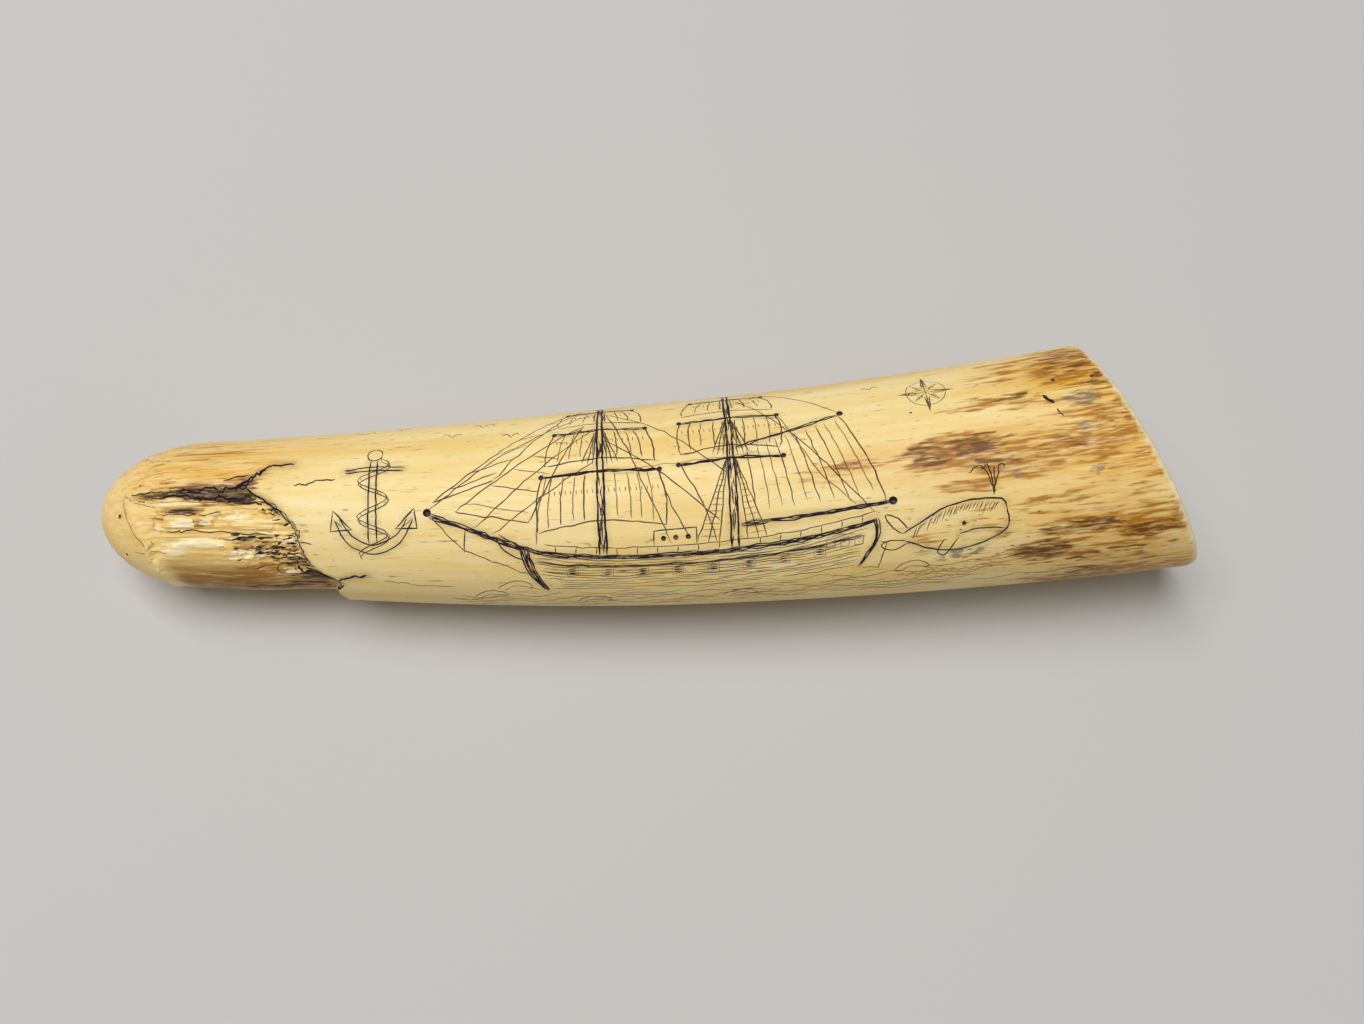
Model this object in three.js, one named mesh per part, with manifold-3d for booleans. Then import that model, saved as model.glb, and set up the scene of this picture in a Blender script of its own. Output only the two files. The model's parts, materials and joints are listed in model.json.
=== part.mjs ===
// A scrimshaw walrus tusk, lying on its side: the worn tip points along -X and the
// slanting saw cut through the root faces +X. One solid piece of ivory.
// Millimetres, +Z up, with the origin under the middle of the tusk, at the level it rests on.
import * as THREE from "three";
import { mergeVertices } from "three/addons/utils/BufferGeometryUtils.js";
import Module from "manifold-3d";

const wasm = await Module();
wasm.setup();

// Overall sizes.
const AXIS_LENGTH = 252; // along the bent centre line, from the tip to the middle of the saw cut
const ROOT_WIDTH = 58.8; // the oval at the root, the wide way
const ROOT_HEIGHT = 45.4; // the oval at the root, the thick way
const BOW = 6; // how far the middle of the centre line stands out from its chord

// The worn round end. Its oval is what the taper would come down to at the very tip.
const DOME_LENGTH = 25;
const TIP_WIDTH = 34.4;
const TIP_HEIGHT = 29;

// The saw cut through the root.
const SAW_SLANT = 15; // degrees off square, seen from above
const SAW_LEAN = 15; // degrees that the cut face looks up

// The outer layer, and what broke away from it near the tip.
const LAYER_AT_BREAK = 2.4; // thickness where the broken edge stands
const LAYER_AT_TIP = 0.5; // thickness where it is worn down beside the cap
const PATCH_TILT = 52; // degrees: the break goes in level at this slope on the near side
const GRAIN_RIDGES = 24; // ridges of bare grain, as many as would go all round
const GRAIN_DEPTH = 0.45;

// How it lies.
const FLAT_DEPTH = 0.7; // how much the belly is worn flat
const ROCKER = 1.6; // rise of the belly line at both ends

// The broken edge, from the crest beside the cap, up the tusk and down its near side:
// millimetres from the tip along the centre line, and degrees round the girth, 90 on top.
const BROKEN_EDGE = [
  [11, 91],
  [18, 89],
  [28, 86],
  [40, 88],
  [45.5, 97],
  [49, 106],
  [51.5, 113],
  [53, 121],
  [53.5, 130],
  [54.5, 139],
  [56.5, 147],
  [62.5, 159],
  [60, 172],
  [61, 186],
];
// The edge of the worn cap, from the belly back up to the crest.
const CAP_EDGE = [
  [19, 186],
  [18, 162],
  [16.5, 134],
  [13.5, 114],
];

// Fineness of the faceted skin.
const SIDES = 72;
const DOME_RINGS = 8;
const BODY_RINGS = 30;
const SIDES_PER_RIDGE = 5;
const CORE_RINGS = 18;

const RADIAN = Math.PI / 180;

// How far the taper has opened from the tip's oval to the root's, against the way along.
const TAPER = new THREE.CubicInterpolant(
  [0, 0.1, 0.28, 0.5, 0.7, 0.88, 1, 1.2],
  [0, 0.1, 0.35, 0.61, 0.76, 0.9, 1, 1.12],
  1,
);
const openingAt = (s) => TAPER.evaluate(s / AXIS_LENGTH)[0];
const widthAt = (s) => TIP_WIDTH + (ROOT_WIDTH - TIP_WIDTH) * openingAt(s);
const heightAt = (s) => TIP_HEIGHT + (ROOT_HEIGHT - TIP_HEIGHT) * openingAt(s);

// The round end as a share of the full oval, for the skin or a surface sunk under it.
function domeAt(s, inset) {
  const back = (DOME_LENGTH - s) / (DOME_LENGTH - inset);
  return back <= 0 ? 1 : Math.sqrt(Math.max(0, 1 - back ** 2));
}

// The centre line is an arc in plan whose middle bows towards -Y, and its ends lift a little.
const BEND_RADIUS = (AXIS_LENGTH / 2) ** 2 / (2 * BOW) + BOW / 2;

function frameAt(s) {
  const turn = (s - AXIS_LENGTH / 2) / BEND_RADIUS;
  const lift = ROCKER * ((2 * s) / AXIS_LENGTH - 1) ** 2;
  return {
    centre: new THREE.Vector3(
      BEND_RADIUS * Math.sin(turn),
      BEND_RADIUS * (1 - Math.cos(turn)) - BOW,
      heightAt(s) / 2 + lift - FLAT_DEPTH,
    ),
    along: new THREE.Vector3(Math.cos(turn), Math.sin(turn), 0),
    across: new THREE.Vector3(-Math.sin(turn), Math.cos(turn), 0),
  };
}

// A point of the oval at s along the centre line and angle round it, sunk under the skin.
function ovalPoint(s, angle, sink, inset) {
  const { centre, across } = frameAt(s);
  const dome = domeAt(s, inset);
  const halfWidth = (widthAt(s) / 2 - sink) * dome;
  const halfHeight = (heightAt(s) / 2 - sink) * dome;
  return centre
    .addScaledVector(across, halfWidth * Math.cos(angle))
    .add(new THREE.Vector3(0, 0, halfHeight * Math.sin(angle)));
}

const skinPoint = (s, angle) => ovalPoint(s, angle, 0, 0);

// The outer layer thins from the broken edge towards the cap.
const PATCH_START = BROKEN_EDGE[0][0];
const PATCH_END = Math.max(...BROKEN_EDGE.map(([s]) => s));
const layerAt = (s) =>
  THREE.MathUtils.mapLinear(
    THREE.MathUtils.clamp(s, PATCH_START, PATCH_END),
    PATCH_START,
    PATCH_END,
    LAYER_AT_TIP,
    LAYER_AT_BREAK,
  );

// The bare core under the layer: long ridges of grain, each a slope with a step beside it.
function corePoint(s, angle) {
  const along = ((angle / (2 * Math.PI)) * GRAIN_RIDGES + 1) % 1;
  return ovalPoint(s, angle, layerAt(s) + GRAIN_DEPTH * along, LAYER_AT_TIP);
}

// A closed body through rings of points, from a pole at the first station to a flat last one.
function loft(stations, sides, pointAt) {
  const positions = [...pointAt(stations[0], 0).toArray()];
  const rings = stations.slice(1);
  for (const s of rings) {
    for (let k = 0; k < sides; k++) {
      positions.push(...pointAt(s, (k / sides) * 2 * Math.PI).toArray());
    }
  }
  const end = positions.length / 3;
  positions.push(...frameAt(rings.at(-1)).centre.toArray());
  const at = (ring, k) => 1 + ring * sides + (k % sides);
  const last = rings.length - 1;
  const index = [];
  for (let k = 0; k < sides; k++) {
    index.push(0, at(0, k + 1), at(0, k));
    for (let ring = 0; ring < last; ring++) {
      index.push(at(ring, k), at(ring, k + 1), at(ring + 1, k));
      index.push(at(ring, k + 1), at(ring + 1, k + 1), at(ring + 1, k));
    }
    index.push(end, at(last, k), at(last, k + 1));
  }
  const geometry = new THREE.BufferGeometry();
  geometry.setAttribute("position", new THREE.Float32BufferAttribute(positions, 3));
  geometry.setIndex(index);
  return geometry;
}

// Stations crowd together over the dome, so that it stays round, and spread evenly after it.
function stationsBetween(start, end, rings) {
  const dome = Array.from(
    { length: DOME_RINGS },
    (_, i) => start + (DOME_LENGTH - start) * (1 - Math.cos(((i / DOME_RINGS) * Math.PI) / 2)),
  );
  const rest = Array.from(
    { length: rings + 1 },
    (_, i) => DOME_LENGTH + ((end - DOME_LENGTH) * i) / rings,
  );
  return [...dome, ...rest];
}

function solidOf(geometry) {
  const bare = geometry.clone();
  bare.deleteAttribute("normal");
  bare.deleteAttribute("uv");
  const merged = mergeVertices(bare, 1e-4);
  return new wasm.Manifold(
    new wasm.Mesh({
      numProp: 3,
      vertProperties: new Float32Array(merged.attributes.position.array),
      triVerts: new Uint32Array(merged.index.array),
    }),
  );
}

function geometryOf(solid) {
  const { vertProperties, numProp, triVerts } = solid.getMesh();
  const positions = new Float32Array((vertProperties.length / numProp) * 3);
  for (let i = 0; i < positions.length / 3; i++) {
    positions.set(vertProperties.subarray(i * numProp, i * numProp + 3), i * 3);
  }
  const geometry = new THREE.BufferGeometry();
  geometry.setAttribute("position", new THREE.BufferAttribute(positions, 3));
  geometry.setIndex(new THREE.BufferAttribute(new Uint32Array(triVerts), 1));
  geometry.computeVertexNormals();
  return geometry;
}

// The whole tusk as it grew, longer at the root than the saw left it.
function grownTusk() {
  const stations = stationsBetween(0, AXIS_LENGTH + ROOT_WIDTH / 2, BODY_RINGS);
  return solidOf(loft(stations, SIDES, skinPoint));
}

// Everything past a slanting plane through the end of the centre line.
function sawnOff() {
  const { centre, along, across } = frameAt(AXIS_LENGTH);
  const level = new THREE.Vector3()
    .addScaledVector(along, Math.cos(SAW_SLANT * RADIAN))
    .addScaledVector(across, Math.sin(SAW_SLANT * RADIAN));
  const facing = level
    .multiplyScalar(Math.cos(SAW_LEAN * RADIAN))
    .add(new THREE.Vector3(0, 0, Math.sin(SAW_LEAN * RADIAN)));
  const side = 3 * ROOT_WIDTH;
  const box = new THREE.BoxGeometry(side, side, side).translate(side / 2, 0, 0);
  box.applyQuaternion(new THREE.Quaternion().setFromUnitVectors(new THREE.Vector3(1, 0, 0), facing));
  return solidOf(box.translate(centre.x, centre.y, centre.z));
}

// What lies below the level that the belly is worn down to.
function belowFlat() {
  const side = 3 * AXIS_LENGTH;
  return solidOf(new THREE.BoxGeometry(side, side, side).translate(0, 0, -side / 2));
}

// The outer layer that is missing: all that lies within the broken edge and outside the core.
function brokenAway() {
  const tilt = PATCH_TILT * RADIAN;
  const upSlope = new THREE.Vector3(0, Math.cos(tilt), Math.sin(tilt));
  const outwards = new THREE.Vector3(0, -Math.sin(tilt), Math.cos(tilt));
  const flatten = ([s, degrees]) => {
    const point = skinPoint(s, degrees * RADIAN);
    return new THREE.Vector2(point.x, point.dot(upSlope));
  };
  const broken = BROKEN_EDGE.map(flatten);
  const cap = CAP_EDGE.map(flatten);
  const underneath = -ROOT_HEIGHT;
  const outline = new THREE.Shape([
    ...broken,
    new THREE.Vector2(broken.at(-1).x, underneath),
    new THREE.Vector2(cap[0].x, underneath),
    ...cap,
  ]);
  const block = new THREE.ExtrudeGeometry(outline, { depth: ROOT_WIDTH, bevelEnabled: false });
  const middle = frameAt((PATCH_START + PATCH_END) / 2).centre;
  block.translate(0, 0, middle.dot(outwards)).rotateX(tilt);
  const stations = stationsBetween(LAYER_AT_TIP, PATCH_END + LAYER_AT_BREAK, CORE_RINGS);
  const core = solidOf(loft(stations, GRAIN_RIDGES * SIDES_PER_RIDGE, corePoint));
  return solidOf(block).subtract(core);
}

const ivory = new THREE.MeshStandardMaterial({ color: 0xe6cf95, roughness: 0.42, metalness: 0 });

function tusk() {
  const solid = grownTusk().subtract(brokenAway()).subtract(sawnOff()).subtract(belowFlat());
  const mesh = new THREE.Mesh(geometryOf(solid), ivory);
  mesh.name = "tusk";
  return mesh;
}

// Brings the middle of the tusk's extent over the origin.
function centred(mesh) {
  mesh.geometry.computeBoundingBox();
  const middle = mesh.geometry.boundingBox.getCenter(new THREE.Vector3());
  mesh.geometry.translate(-middle.x, -middle.y, 0);
  return mesh;
}

const scrimshawTusk = new THREE.Group();
scrimshawTusk.add(centred(tusk()));

export default scrimshawTusk;
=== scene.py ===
# %% [markdown]
# # A scrimshaw walrus tusk
# A length of walrus tusk lies on its side. Its tip is worn round, a patch of the outer layer has broken away near
# the tip, and the root is sawn off at a slant. A picture is scratched into the polished ivory and rubbed with ink.
# The solid is loaded first, because every fine form made here has to sit on it.

# %% Load the solid
import json
import math
import random

import bpy
import numpy as np
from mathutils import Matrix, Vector, noise
from mathutils.bvhtree import BVHTree

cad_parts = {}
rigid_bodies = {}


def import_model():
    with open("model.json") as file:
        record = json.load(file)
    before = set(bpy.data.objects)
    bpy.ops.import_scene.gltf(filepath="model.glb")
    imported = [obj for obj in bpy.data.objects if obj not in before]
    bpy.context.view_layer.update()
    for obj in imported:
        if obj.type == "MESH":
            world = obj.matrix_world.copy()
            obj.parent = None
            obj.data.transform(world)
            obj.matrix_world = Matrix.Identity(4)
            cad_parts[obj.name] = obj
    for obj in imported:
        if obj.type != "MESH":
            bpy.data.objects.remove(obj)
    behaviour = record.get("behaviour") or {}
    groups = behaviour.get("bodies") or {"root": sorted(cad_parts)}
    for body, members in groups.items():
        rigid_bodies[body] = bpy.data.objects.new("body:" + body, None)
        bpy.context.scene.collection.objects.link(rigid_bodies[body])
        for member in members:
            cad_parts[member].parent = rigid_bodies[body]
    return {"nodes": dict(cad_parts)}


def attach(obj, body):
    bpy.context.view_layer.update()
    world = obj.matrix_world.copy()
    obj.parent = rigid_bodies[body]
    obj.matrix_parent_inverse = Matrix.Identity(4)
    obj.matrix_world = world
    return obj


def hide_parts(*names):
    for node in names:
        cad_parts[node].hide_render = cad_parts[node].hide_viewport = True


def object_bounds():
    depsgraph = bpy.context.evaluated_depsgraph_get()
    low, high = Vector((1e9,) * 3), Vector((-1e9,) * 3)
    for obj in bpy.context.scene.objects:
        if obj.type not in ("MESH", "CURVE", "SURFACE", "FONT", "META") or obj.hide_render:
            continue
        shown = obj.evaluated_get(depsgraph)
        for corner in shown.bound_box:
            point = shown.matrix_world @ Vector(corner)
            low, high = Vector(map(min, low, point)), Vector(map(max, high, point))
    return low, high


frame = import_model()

MM = 0.001
cad_low, cad_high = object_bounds()
solid = frame["nodes"]["tusk"]
print("solid from", list(cad_low), "to", list(cad_high))

# %% [markdown]
# ## The camera
# The picture was taken from high above the near side, with the tusk level across it. A camera can be placed by its
# aim, its direction and its distance, which is easier to correct than a free position: the three numbers don't
# disturb each other.

# %% Place the camera
FRAME_WIDTH_PX = 1364
FOCAL_PX = 1212
SENSOR_MM = 36.0
AIM = Vector((9.98, 0.39, 0)) * MM
DISTANCE = 314.2 * MM
AZIMUTH, ELEVATION = math.radians(-2.84), math.radians(69.3)

towards_camera = Vector((
    math.sin(AZIMUTH) * math.cos(ELEVATION),
    -math.cos(AZIMUTH) * math.cos(ELEVATION),
    math.sin(ELEVATION),
))
bpy.ops.object.camera_add(location=AIM + towards_camera * DISTANCE)
camera = bpy.context.object
camera.rotation_mode = "QUATERNION"
camera.rotation_quaternion = (-towards_camera).to_track_quat("-Z", "Y")
camera.data.sensor_width = SENSOR_MM
camera.data.lens = SENSOR_MM * FOCAL_PX / FRAME_WIDTH_PX
camera.data.clip_start = 0.01
bpy.context.scene.camera = camera
print("camera lens", round(camera.data.lens, 2), "mm at", list(camera.location))

# %% [markdown]
# ## A fine skin for the tusk
# The solid has coarse facets, and subdivided they would stay long and thin. A voxel remesh of a copy gives small
# even squares all over, which take relief and engraving well. It needs one closed body, so loose triangles are
# merged first. It chews a sharp edge that runs askew to its squares, so the rim of the saw cut, which hands have
# worn round, is bevelled before it.

# %% Copy and remesh the solid
VOXEL = 1.2 * MM
RIM_BEVEL = 1.1 * MM
SAME_PLACE = 0.001 * MM
SAWN_NORMAL_X = 0.86


def only(piece):
    """Selects this object alone and makes it the active one."""
    bpy.ops.object.select_all(action="DESELECT")
    piece.select_set(True)
    bpy.context.view_layer.objects.active = piece


def apply_modifier(piece, kind, **settings):
    """Adds a modifier of that kind with these settings and applies it."""
    only(piece)
    made = piece.modifiers.new(kind.lower(), kind)
    for key, value in settings.items():
        setattr(made, key, value)
    bpy.ops.object.modifier_apply(modifier=made.name)


def weld():
    """Merges doubled vertices of what is selected, and turns its normals outwards."""
    bpy.ops.object.mode_set(mode="EDIT")
    bpy.ops.mesh.select_all(action="SELECT")
    bpy.ops.mesh.remove_doubles(threshold=SAME_PLACE)
    bpy.ops.mesh.normals_make_consistent(inside=False)
    bpy.ops.object.mode_set(mode="OBJECT")


def select_faces(piece, chosen):
    """Selects faces by a list that says yes or no for each, and stays in edit mode."""
    only(piece)
    bpy.ops.object.mode_set(mode="EDIT")
    bpy.ops.mesh.select_mode(type="FACE")
    bpy.ops.mesh.select_all(action="DESELECT")
    bpy.ops.object.mode_set(mode="OBJECT")
    piece.data.polygons.foreach_set("select", chosen)
    bpy.ops.object.mode_set(mode="EDIT")


tusk = bpy.data.objects.new("engraved_tusk", solid.data.copy())
tusk.data.materials.clear()
bpy.context.scene.collection.objects.link(tusk)
only(tusk)
weld()
select_faces(tusk, [face.normal.x > SAWN_NORMAL_X for face in tusk.data.polygons])
bpy.ops.mesh.dissolve_faces()
bpy.ops.mesh.region_to_loop()
bpy.ops.mesh.bevel(offset=RIM_BEVEL, segments=3)
bpy.ops.object.mode_set(mode="OBJECT")
apply_modifier(tusk, "REMESH", mode="VOXEL", voxel_size=VOXEL)
print("remeshed skin:", len(tusk.data.polygons), "squares")

# %% [markdown]
# ## Places on the tusk
# A picture on a round thing is planned flat. Here a place is given as on a sheet of paper wrapped round the tusk:
# `u` is millimetres from the tip, and `v` is millimetres round the girth from the crest, positive down the near
# side. The oval at each station is measured from the solid, so the paper fits whatever size it has.

# %% Measure the ovals
STATIONS = np.linspace(-0.098, 0.098, 41)
SLICE = 5 * MM
DOME_MM = 25.0
UNBROKEN_FROM = -0.055
RAY_START = 1.6
QUARTERS = np.linspace(-np.pi, np.pi, 721)

corners = np.array([v.co for v in solid.data.vertices])


def measure(station):
    """The far side, the near side, the height of the widest point and the top of the solid near a station."""
    around = corners[np.abs(corners[:, 0] - station) < SLICE]
    widest = around[around[:, 1].argmax()]
    return widest[1], around[:, 1].min(), widest[2], around[:, 2].max()


far_side, near_side, side_height, top = np.array([measure(x) for x in STATIONS]).T
whole = STATIONS > UNBROKEN_FROM
middle_y = np.poly1d(np.polyfit(STATIONS[whole], ((far_side + near_side) / 2)[whole], 2))
half_width = np.poly1d(np.polyfit(STATIONS, far_side - middle_y(STATIONS), 4))
middle_z = np.poly1d(np.polyfit(STATIONS, side_height, 2))
half_height = np.poly1d(np.polyfit(STATIONS, top - middle_z(STATIONS), 4))
oval_ratio = float(np.mean(half_height(STATIONS) / half_width(STATIONS)))
step = np.hypot(np.cos(QUARTERS), oval_ratio * np.sin(QUARTERS))
arc_table = np.concatenate([[0], np.cumsum((step[1:] + step[:-1]) / 2 * np.diff(QUARTERS))])
arc_table -= arc_table[len(arc_table) // 2]
print("oval ratio", round(oval_ratio, 3), "half width at the middle", round(half_width(0) / MM, 1), "mm")


def half_sizes(x, round_end=True):
    """Half width and half height of the oval at x, drawn in over the round end."""
    back = np.clip(1 - (x - cad_low.x) / (DOME_MM * MM), 0, 1) * round_end
    dome = np.sqrt(np.clip(1 - back**2, 0.01, 1))
    return half_width(x) * dome, half_height(x) * dome


def paper_place(points):
    """The u and v of an array of points on the skin."""
    x = points[:, 0]
    wide, high = half_sizes(x)
    turn = np.arctan2(-(points[:, 1] - middle_y(x)) / wide, (points[:, 2] - middle_z(x)) / high)
    return (x - cad_low.x) / MM, np.interp(turn, QUARTERS, arc_table) * wide / MM


def skin_spot(tree, u, v):
    """The point of the skin at a place on the paper."""
    x = cad_low.x + u * MM
    wide, high = half_sizes(x)
    turn = float(np.interp(v * MM / wide, arc_table, QUARTERS))
    axis = Vector((x, middle_y(x), middle_z(x)))
    out = Vector((0, -wide * math.sin(turn), high * math.cos(turn)))
    return tree.ray_cast(axis + RAY_START * out, -out)[0]


# %% [markdown]
# ## The broken patch
# Near the tip the outer layer has come away along a jagged line, and the grain of the core shows. The patch is an
# outline on the paper. How deep inside it a point lies will steer the smoothing, the relief and the colour, and so
# will the distance from the sawn face.

# %% Mark the bare patch
BROKEN_LINE = [
    (11, 0.3), (18, -0.3), (28, -1.3), (40, -0.7), (45.2, 2.4), (48.5, 5.6), (50.9, 8), (52.3, 10.8), (52.6, 13.8),
    (53.5, 16.8), (55.4, 19.5), (61.4, 23.6), (58.8, 27.3), (59.8, 31.5),
]
UNDERSIDE = [(60.3, 35), (59.5, 39), (60.2, 46), (18, 38)]
CAP_LINE = [(17.5, 26.9), (16.6, 20.5), (15.5, 12.6), (12.9, 6.6)]
PATCH = BROKEN_LINE + UNDERSIDE + CAP_LINE


def distance_to_line(u, v, line, closed=False):
    """Distance in millimetres from each place to a line through these points."""
    best = np.full(len(u), 1e9)
    for (ua, va), (ub, vb) in zip(line, line[1:] + (line[:1] if closed else [])):
        du, dv = ub - ua, vb - va
        share = np.clip(((u - ua) * du + (v - va) * dv) / max(du * du + dv * dv, 1e-9), 0, 1)
        best = np.minimum(best, np.hypot(u - ua - share * du, v - va - share * dv))
    return best


def inside_outline(u, v, outline):
    """Whether each place lies inside a closed outline."""
    inside = np.zeros(len(u), bool)
    for (ua, va), (ub, vb) in zip(outline, outline[1:] + outline[:1]):
        crosses = (va > v) != (vb > v)
        inside ^= crosses & (u < ua + (v - va) * (ub - ua) / (vb - va if vb != va else 1e-9))
    return inside


def bare_depth(u, v, outline=PATCH):
    """Millimetres inside the edge of the bare patch or another outline, negative outside it."""
    return distance_to_line(u, v, outline, closed=True) * np.where(inside_outline(u, v, outline), 1, -1)


def points_of(piece):
    """The vertices of a piece as an array."""
    found = np.empty(len(piece.data.vertices) * 3)
    piece.data.vertices.foreach_get("co", found)
    return found.reshape(-1, 3)


def ramp(value, low, high):
    """0 below low, 1 above high, and a smooth rise between."""
    share = np.clip((value - low) / (high - low), 0, 1)
    return share * share * (3 - 2 * share)


saw_faces = [face for face in solid.data.polygons if face.normal.x > SAWN_NORMAL_X]
saw_normal = np.array(sum((face.normal * face.area for face in saw_faces), Vector()).normalized())
saw_middle = np.array(max(saw_faces, key=lambda face: face.area).center)


def from_saw(points):
    """Millimetres back from the saw cut."""
    return (saw_middle - points) @ saw_normal / MM


print("patch outlined, corners:", len(PATCH))

# %% [markdown]
# ## Smooth skin, crisp edges
# A remesh leaves faint steps, and handled ivory has none. A Smooth modifier evens them out, and a vertex group tells
# it where: fully on the whole skin, hardly at the broken edge, and half at the saw cut.

# %% Smooth the skin
u, v = paper_place(points_of(tusk))
depth = bare_depth(u, v)
sound = (ramp(-depth, 0.5, 3) + 0.4 * ramp(depth, 1.2, 3)) * (0.5 + 0.5 * ramp(from_saw(points_of(tusk)), 1, 5))
group = tusk.vertex_groups.new(name="sound")
for index, weight in enumerate(sound):
    group.add([index], float(weight), "REPLACE")
apply_modifier(tusk, "SMOOTH", factor=0.5, iterations=14, vertex_group="sound")
apply_modifier(tusk, "SMOOTH", factor=0.35, iterations=1)
print("bare vertices:", int((depth > 0).sum()), "of", len(sound))

# %% [markdown]
# ## Finer faces for the patch
# Relief can't be finer than the faces that carry it. Only the patch needs small ones, so the faces in it and just
# round it are selected by place and subdivided. The rest stays light.

# %% Subdivide the patch
MARGIN_MM = 1.2
middles = np.array([face.center for face in tusk.data.polygons])
select_faces(tusk, bare_depth(*paper_place(middles)) > -MARGIN_MM)
bpy.ops.mesh.subdivide(number_cuts=2, smoothness=0.5)
bpy.ops.object.mode_set(mode="OBJECT")
print("with a finer patch:", len(tusk.data.polygons), "faces")

# %% [markdown]
# ## Ledges, ribs and crumbs
# Bare ivory breaks in layers: it shows ledges, ribs and furrows along the grain, and spots that crumbled. It could
# be sculpted by hand. Here each vertex is pushed along its normal by a sum of plain forms, in millimetres: ledges
# with an outline, a height and a slope, and stretched noise for the rest.

# %% Press the grain into the patch
LOBE = [
    (16, 17), (17.4, 14.8), (20.4, 13), (24, 11.3), (30, 10.8), (36, 12), (39, 14.6), (46, 22), (56, 30), (56, 46),
    (15, 46),
]
LOBE_RISE = 0.8
LOBE_ENDS, WORN_ENDS = 54, 44
LEDGES = [
    ([(20.8, 7), (22.4, 5.5), (28, 5.8), (28.3, 9.2), (20.9, 9.3)], 0.65, 0.7),
    ([(28.6, 5.1), (32.7, 4.9), (32.9, 8.2), (28.5, 8.5)], 0.5, 0.5),
    ([(17.9, 7.6), (19.6, 7.3), (19.8, 9.6), (17.9, 9.9)], 0.5, 0.5),
    ([(33.8, 6.4), (46.4, 7.2), (47, 10.4), (36.5, 9.4)], 0.4, 0.6),
    ([(14, 1.5), (24, 1.4), (33, 2), (33, 3), (17.6, 3.5)], 0.4, 0.4),
    ([(20.2, 3.5), (29.8, 3.6), (29.6, 5.2), (20.8, 5.2)], -0.65, 0.5),
    ([(17.4, 4.2), (21, 5.4), (20.8, 9.2), (20, 12.6), (16.6, 15), (17.2, 9)], -0.3, 0.5),
    ([(36, 2.6), (43, 3.6), (45.6, 6.4), (38, 5.6)], -0.3, 0.6),
    ([(46.4, 20.2), (53, 20.6), (53, 22.6), (47, 22.2)], 0.35, 0.5),
    ([(37, 11), (47, 11.6), (47, 12.4), (38, 12.2)], -0.4, 0.4),
]
ROUGH_BAND = [(13, 0.3), (20, 0.4), (30, 0.3), (40.5, 0.9)]
CRUMBS = [
    (43, 14.8, 9, 2.8, 1), (45.5, 5, 5, 2.4, 0.9), (50, 18.6, 5, 2.2, 0.9), (42, 11.8, 8, 1.2, 0.8),
    (37.6, 5.6, 3, 1.4, 0.7),
]
WANDER_U, WANDER_V = 1.3, 0.4
RIBS = [(0.24, 11, 0.8, 3.1), (0.12, 3.5, 0.45, 7.7)]
FURROW, FURROW_MORE, CRUMB_DEPTH = 0.25, 0.9, 0.6


def spot(u, v, place):
    """A soft oval spot: place is its middle, its two half sizes and its strength."""
    u0, v0, long, wide, strength = place
    return strength * np.exp(-(((u - u0) / long) ** 2) - ((v - v0) / wide) ** 2)


def ledge(u, v, outline, height, slope):
    """A raised or sunk ledge with sloping sides, within an outline."""
    return height * ramp(bare_depth(u, v, outline), 0, slope)


def noise_at(u, v, along, across, seed):
    """Smooth noise from -1 to 1, stretched along the grain."""
    return np.array([noise.noise((a / along, b / across, seed)) for a, b in zip(u, v)])


where = points_of(tusk)
u, v = paper_place(where)
bare = ramp(bare_depth(u, v), -0.1, 0.7)
inner = np.flatnonzero(bare > 0)
ub, vb = u[inner], v[inner]
crooked_u = ub + WANDER_U * noise_at(ub, vb, 3, 1.2, 1.5)
crooked_v = vb + WANDER_V * noise_at(ub, vb, 5, 2, 2.5)
rise = sum(ledge(crooked_u, crooked_v, *place) for place in LEDGES)
rise += ledge(crooked_u, crooked_v, LOBE, LOBE_RISE, 1.5) * ramp(LOBE_ENDS - ub, 0, 18)
worn = 0.75 * ramp(bare_depth(ub, vb, LOBE), 0, 2) * ramp(WORN_ENDS - ub, 0, 12)
rise += (1 - worn) * sum(height * noise_at(ub, vb, *size) for height, *size in RIBS)
furrows = ramp(2.3 - distance_to_line(ub, crooked_v, ROUGH_BAND), 0, 1.2)
rise -= furrows * (FURROW + FURROW_MORE * np.abs(noise_at(ub, vb, 5, 0.6, 4.4)) ** 0.7)
crumbled = np.clip(sum(spot(ub, vb, place) for place in CRUMBS), 0, 1)
rise -= CRUMB_DEPTH * crumbled * ramp(noise_at(ub, vb, 1.7, 0.8, 12.3), 0.08, 0.3)
normals = np.empty(len(where) * 3)
tusk.data.vertices.foreach_get("normal", normals)
where[inner] += normals.reshape(-1, 3)[inner] * (rise * bare[inner] * MM)[:, None]
# Nothing sinks below the floor.
where[:, 2] = np.maximum(where[:, 2], 0)
tusk.data.vertices.foreach_set("co", where.ravel())
tusk.data.update()
print("grain from", round(float(rise.min()), 2), "to", round(float(rise.max()), 2), "mm")

# %% [markdown]
# ## The picture
# Sailors scratched such pictures with a needle and rubbed soot or ink into the lines. This one is of the common
# kind: a square-rigged brig at sea, a whale, an anchor, a star and gulls. It could be laid on as an image. Here it
# is planned on the paper as strokes, each with its points, its width in millimetres and how dark its ink stayed,
# because strokes can become real cuts.

# %% A pen for planning strokes
HEAVY, DARK, THIN, FAINT = range(4)
hand = random.Random(41)
vary, pick = hand.uniform, hand.choice
picture, dots = [], []


def stroke(points, width=0.38, ink=DARK, shake=0.1):
    """Plans one stroke through these places, with a hand's small shake."""
    picture.append((list(points), width, ink, shake))


def fine(points, width=0.28, ink=THIN, shake=0.08):
    """Plans one thin stroke."""
    stroke(points, width, ink, shake)


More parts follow.
